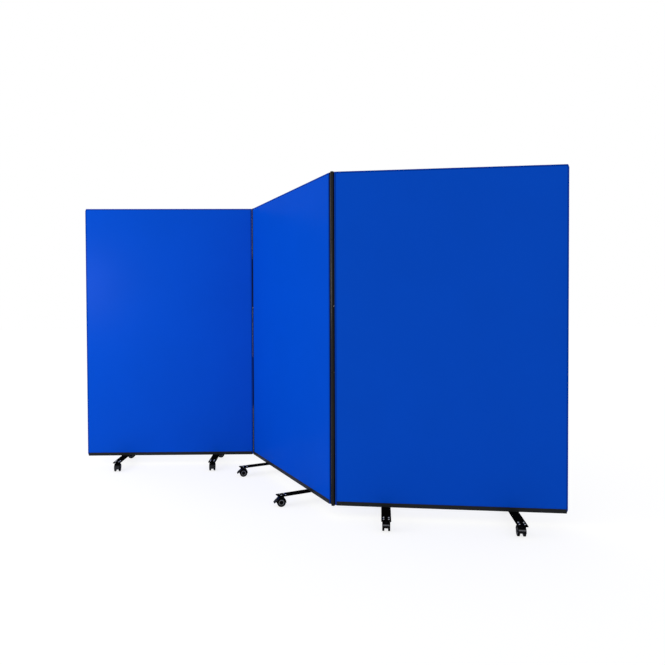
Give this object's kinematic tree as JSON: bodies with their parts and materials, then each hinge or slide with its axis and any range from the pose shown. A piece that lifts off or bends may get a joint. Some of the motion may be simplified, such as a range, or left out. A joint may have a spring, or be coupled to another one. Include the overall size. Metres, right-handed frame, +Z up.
{
  "type": "ward privacy screen",
  "caption": "Folding ward privacy screen: hinged panels with wipe-clean blue covers on cross feet with braked twin-wheel castors.",
  "frame": {"origin": "on the floor, under the middle of the standing zigzag screen", "axes": "+X along the left panel toward the right panel, +Y to the back, +Z up"},
  "size_m": [2.935, 1.6574, 1.8608],
  "materials": {
    "cover_blue": "smooth wipe-clean coated fabric, soft sheen",
    "board": "light filled core board, hidden",
    "rail": "black semi-gloss",
    "hinge": "black semi-matt moulded profile",
    "steel": "plain zinc-plated steel",
    "foot": "black powder coat",
    "castor_housing": "black moulded plastic",
    "wheel": "dark grey-black hard tread",
    "pedal": "dark grey moulded plastic"
  },
  "bodies": {
    "middle_panel": {"middle_board": "board", "middle_cover": "cover_blue", "middle_bottom_rail": "rail", "middle_foot_1": "foot", "middle_foot_bolt_1": "steel", "middle_foot_2": "foot", "middle_foot_bolt_2": "steel", "middle_hinge_leaf_left": "hinge", "middle_hinge_leaf_right": "hinge", "hinge_pin_left": "steel", "hinge_pin_right": "steel", "hinge_cap_left": "hinge", "hinge_cap_right": "hinge"},
    "left_panel": {"left_board": "board", "left_cover": "cover_blue", "left_bottom_rail": "rail", "left_foot_1": "foot", "left_foot_bolt_1": "steel", "left_foot_2": "foot", "left_foot_bolt_2": "steel", "left_hinge_leaf_right": "hinge"},
    "right_panel": {"right_board": "board", "right_cover": "cover_blue", "right_bottom_rail": "rail", "right_foot_1": "foot", "right_foot_bolt_1": "steel", "right_foot_2": "foot", "right_foot_bolt_2": "steel", "right_hinge_leaf_left": "hinge"},
    "left_front_castor_1": {"left_front_castor_1_hood": "castor_housing"},
    "left_front_castor_1_wheel_set": {"left_front_castor_1_wheels": "wheel"},
    "left_front_castor_1_pedal": {"left_front_castor_1_brake_pedal": "pedal"},
    "left_front_castor_2": {"left_front_castor_2_hood": "castor_housing"},
    "left_front_castor_2_wheel_set": {"left_front_castor_2_wheels": "wheel"},
    "left_front_castor_2_pedal": {"left_front_castor_2_brake_pedal": "pedal"},
    "left_rear_castor_1": {"left_rear_castor_1_hood": "castor_housing"},
    "left_rear_castor_1_wheel_set": {"left_rear_castor_1_wheels": "wheel"},
    "left_rear_castor_2": {"left_rear_castor_2_hood": "castor_housing"},
    "left_rear_castor_2_wheel_set": {"left_rear_castor_2_wheels": "wheel"},
    "middle_front_castor_1": {"middle_front_castor_1_hood": "castor_housing"},
    "middle_front_castor_1_wheel_set": {"middle_front_castor_1_wheels": "wheel"},
    "middle_front_castor_1_pedal": {"middle_front_castor_1_brake_pedal": "pedal"},
    "middle_front_castor_2": {"middle_front_castor_2_hood": "castor_housing"},
    "middle_front_castor_2_wheel_set": {"middle_front_castor_2_wheels": "wheel"},
    "middle_front_castor_2_pedal": {"middle_front_castor_2_brake_pedal": "pedal"},
    "middle_rear_castor_1": {"middle_rear_castor_1_hood": "castor_housing"},
    "middle_rear_castor_1_wheel_set": {"middle_rear_castor_1_wheels": "wheel"},
    "middle_rear_castor_2": {"middle_rear_castor_2_hood": "castor_housing"},
    "middle_rear_castor_2_wheel_set": {"middle_rear_castor_2_wheels": "wheel"},
    "right_front_castor_1": {"right_front_castor_1_hood": "castor_housing"},
    "right_front_castor_1_wheel_set": {"right_front_castor_1_wheels": "wheel"},
    "right_front_castor_1_pedal": {"right_front_castor_1_brake_pedal": "pedal"},
    "right_front_castor_2": {"right_front_castor_2_hood": "castor_housing"},
    "right_front_castor_2_wheel_set": {"right_front_castor_2_wheels": "wheel"},
    "right_front_castor_2_pedal": {"right_front_castor_2_brake_pedal": "pedal"},
    "right_rear_castor_1": {"right_rear_castor_1_hood": "castor_housing"},
    "right_rear_castor_1_wheel_set": {"right_rear_castor_1_wheels": "wheel"},
    "right_rear_castor_2": {"right_rear_castor_2_hood": "castor_housing"},
    "right_rear_castor_2_wheel_set": {"right_rear_castor_2_wheels": "wheel"}
  },
  "joints": [
    {"name": "left_fold", "type": "hinge", "parent": "middle_panel", "child": "left_panel", "pos_m": [-0.25453, 0.61866, 0.96], "axis": [0, 0, 1], "range_deg": [-155, 25]},
    {"name": "right_fold", "type": "hinge", "parent": "middle_panel", "child": "right_panel", "pos_m": [0.2636, -0.49248, 0.96], "axis": [0, 0, 1], "range_deg": [-147.4, 32.6]},
    {"name": "left_front_castor_1_swivel", "type": "hinge", "parent": "left_panel", "child": "left_front_castor_1", "pos_m": [-1.19753, 0.44166, 0.05721], "axis": [0, 0, 1], "continuous": true},
    {"name": "left_front_castor_1_roll", "type": "hinge", "parent": "left_front_castor_1", "child": "left_front_castor_1_wheel_set", "pos_m": [-1.19631, 0.43173, 0.025], "axis": [0.9925, 0.1219, 0], "continuous": true},
    {"name": "left_front_castor_1_brake", "type": "hinge", "parent": "left_front_castor_1", "child": "left_front_castor_1_pedal", "pos_m": [-1.19246, 0.40038, 0.02979], "axis": [0.9925, 0.1219, 0], "range_deg": [0, 15]},
    {"name": "left_front_castor_2_swivel", "type": "hinge", "parent": "left_panel", "child": "left_front_castor_2", "pos_m": [-0.53753, 0.44166, 0.05721], "axis": [0, 0, 1], "continuous": true},
    {"name": "left_front_castor_2_roll", "type": "hinge", "parent": "left_front_castor_2", "child": "left_front_castor_2_wheel_set", "pos_m": [-0.53683, 0.43168, 0.025], "axis": [0.9976, 0.0698, 0], "continuous": true},
    {"name": "left_front_castor_2_brake", "type": "hinge", "parent": "left_front_castor_2", "child": "left_front_castor_2_pedal", "pos_m": [-0.53463, 0.40017, 0.02979], "axis": [0.9976, 0.0698, 0], "range_deg": [0, 15]},
    {"name": "left_rear_castor_1_swivel", "type": "hinge", "parent": "left_panel", "child": "left_rear_castor_1", "pos_m": [-1.19753, 0.79566, 0.05721], "axis": [0, 0, 1], "continuous": true},
    {"name": "left_rear_castor_1_roll", "type": "hinge", "parent": "left_rear_castor_1", "child": "left_rear_castor_1_wheel_set", "pos_m": [-1.20753, 0.79566, 0.025], "axis": [0, -1, 0], "continuous": true},
    {"name": "left_rear_castor_2_swivel", "type": "hinge", "parent": "left_panel", "child": "left_rear_castor_2", "pos_m": [-0.53753, 0.79566, 0.05721], "axis": [0, 0, 1], "continuous": true},
    {"name": "left_rear_castor_2_roll", "type": "hinge", "parent": "left_rear_castor_2", "child": "left_rear_castor_2_wheel_set", "pos_m": [-0.52753, 0.79566, 0.025], "axis": [0, 1, 0], "continuous": true},
    {"name": "middle_front_castor_1_swivel", "type": "hinge", "parent": "middle_panel", "child": "middle_front_castor_1", "pos_m": [-0.29535, 0.28737, 0.05721], "axis": [0, 0, 1], "continuous": true},
    {"name": "middle_front_castor_1_roll", "type": "hinge", "parent": "middle_front_castor_1", "child": "middle_front_castor_1_wheel_set", "pos_m": [-0.30509, 0.28512, 0.025], "axis": [0.225, -0.9744, 0], "continuous": true},
    {"name": "middle_front_castor_1_brake", "type": "hinge", "parent": "middle_front_castor_1", "child": "middle_front_castor_1_pedal", "pos_m": [-0.33587, 0.27801, 0.02979], "axis": [0.225, -0.9744, 0], "range_deg": [0, 15]},
    {"name": "middle_front_castor_2_swivel", "type": "hinge", "parent": "middle_panel", "child": "middle_front_castor_2", "pos_m": [-0.01642, -0.31079, 0.05721], "axis": [0, 0, 1], "continuous": true},
    {"name": "middle_front_castor_2_roll", "type": "hinge", "parent": "middle_front_castor_2", "child": "middle_front_castor_2_wheel_set", "pos_m": [-0.02616, -0.31305, 0.025], "axis": [0.225, -0.9744, 0], "continuous": true},
    {"name": "middle_front_castor_2_brake", "type": "hinge", "parent": "middle_front_castor_2", "child": "middle_front_castor_2_pedal", "pos_m": [-0.05694, -0.32015, 0.02979], "axis": [0.225, -0.9744, 0], "range_deg": [0, 15]},
    {"name": "middle_rear_castor_1_swivel", "type": "hinge", "parent": "middle_panel", "child": "middle_rear_castor_1", "pos_m": [0.02549, 0.43698, 0.05721], "axis": [0, 0, 1], "continuous": true},
    {"name": "middle_rear_castor_1_roll", "type": "hinge", "parent": "middle_rear_castor_1", "child": "middle_rear_castor_1_wheel_set", "pos_m": [0.02971, 0.44604, 0.025], "axis": [-0.9063, 0.4226, 0], "continuous": true},
    {"name": "middle_rear_castor_2_swivel", "type": "hinge", "parent": "middle_panel", "child": "middle_rear_castor_2", "pos_m": [0.30441, -0.16119, 0.05721], "axis": [0, 0, 1], "continuous": true},
    {"name": "middle_rear_castor_2_roll", "type": "hinge", "parent": "middle_rear_castor_2", "child": "middle_rear_castor_2_wheel_set", "pos_m": [0.31348, -0.16542, 0.025], "axis": [0.4226, 0.9063, 0], "continuous": true},
    {"name": "right_front_castor_1_swivel", "type": "hinge", "parent": "right_panel", "child": "right_front_castor_1", "pos_m": [0.5207, -0.70535, 0.05721], "axis": [0, 0, 1], "continuous": true},
    {"name": "right_front_castor_1_roll", "type": "hinge", "parent": "right_front_castor_1", "child": "right_front_castor_1_wheel_set", "pos_m": [0.52203, -0.69544, 0.025], "axis": [-0.9912, 0.1323, 0], "continuous": true},
    {"name": "right_front_castor_1_brake", "type": "hinge", "parent": "right_front_castor_1", "child": "right_front_castor_1_pedal", "pos_m": [0.52621, -0.66412, 0.02979], "axis": [-0.9912, 0.1323, 0], "range_deg": [0, 15]},
    {"name": "right_front_castor_2_swivel", "type": "hinge", "parent": "right_panel", "child": "right_front_castor_2", "pos_m": [1.17491, -0.79264, 0.05721], "axis": [0, 0, 1], "continuous": true},
    {"name": "right_front_castor_2_roll", "type": "hinge", "parent": "right_front_castor_2", "child": "right_front_castor_2_wheel_set", "pos_m": [1.17623, -0.78273, 0.025], "axis": [-0.9912, 0.1323, 0], "continuous": true},
    {"name": "right_front_castor_2_brake", "type": "hinge", "parent": "right_front_castor_2", "child": "right_front_castor_2_pedal", "pos_m": [1.18041, -0.75141, 0.02979], "axis": [-0.9912, 0.1323, 0], "range_deg": [0, 15]},
    {"name": "right_rear_castor_1_swivel", "type": "hinge", "parent": "right_panel", "child": "right_rear_castor_1", "pos_m": [0.56752, -0.35446, 0.05721], "axis": [0, 0, 1], "continuous": true},
    {"name": "right_rear_castor_1_roll", "type": "hinge", "parent": "right_rear_castor_1", "child": "right_rear_castor_1_wheel_set", "pos_m": [0.56885, -0.34455, 0.025], "axis": [-0.9912, 0.1323, 0], "continuous": true},
    {"name": "right_rear_castor_2_swivel", "type": "hinge", "parent": "right_panel", "child": "right_rear_castor_2", "pos_m": [1.22172, -0.44175, 0.05721], "axis": [0, 0, 1], "continuous": true},
    {"name": "right_rear_castor_2_roll", "type": "hinge", "parent": "right_rear_castor_2", "child": "right_rear_castor_2_wheel_set", "pos_m": [1.22305, -0.43184, 0.025], "axis": [-0.9912, 0.1323, 0], "continuous": true}
  ]
}
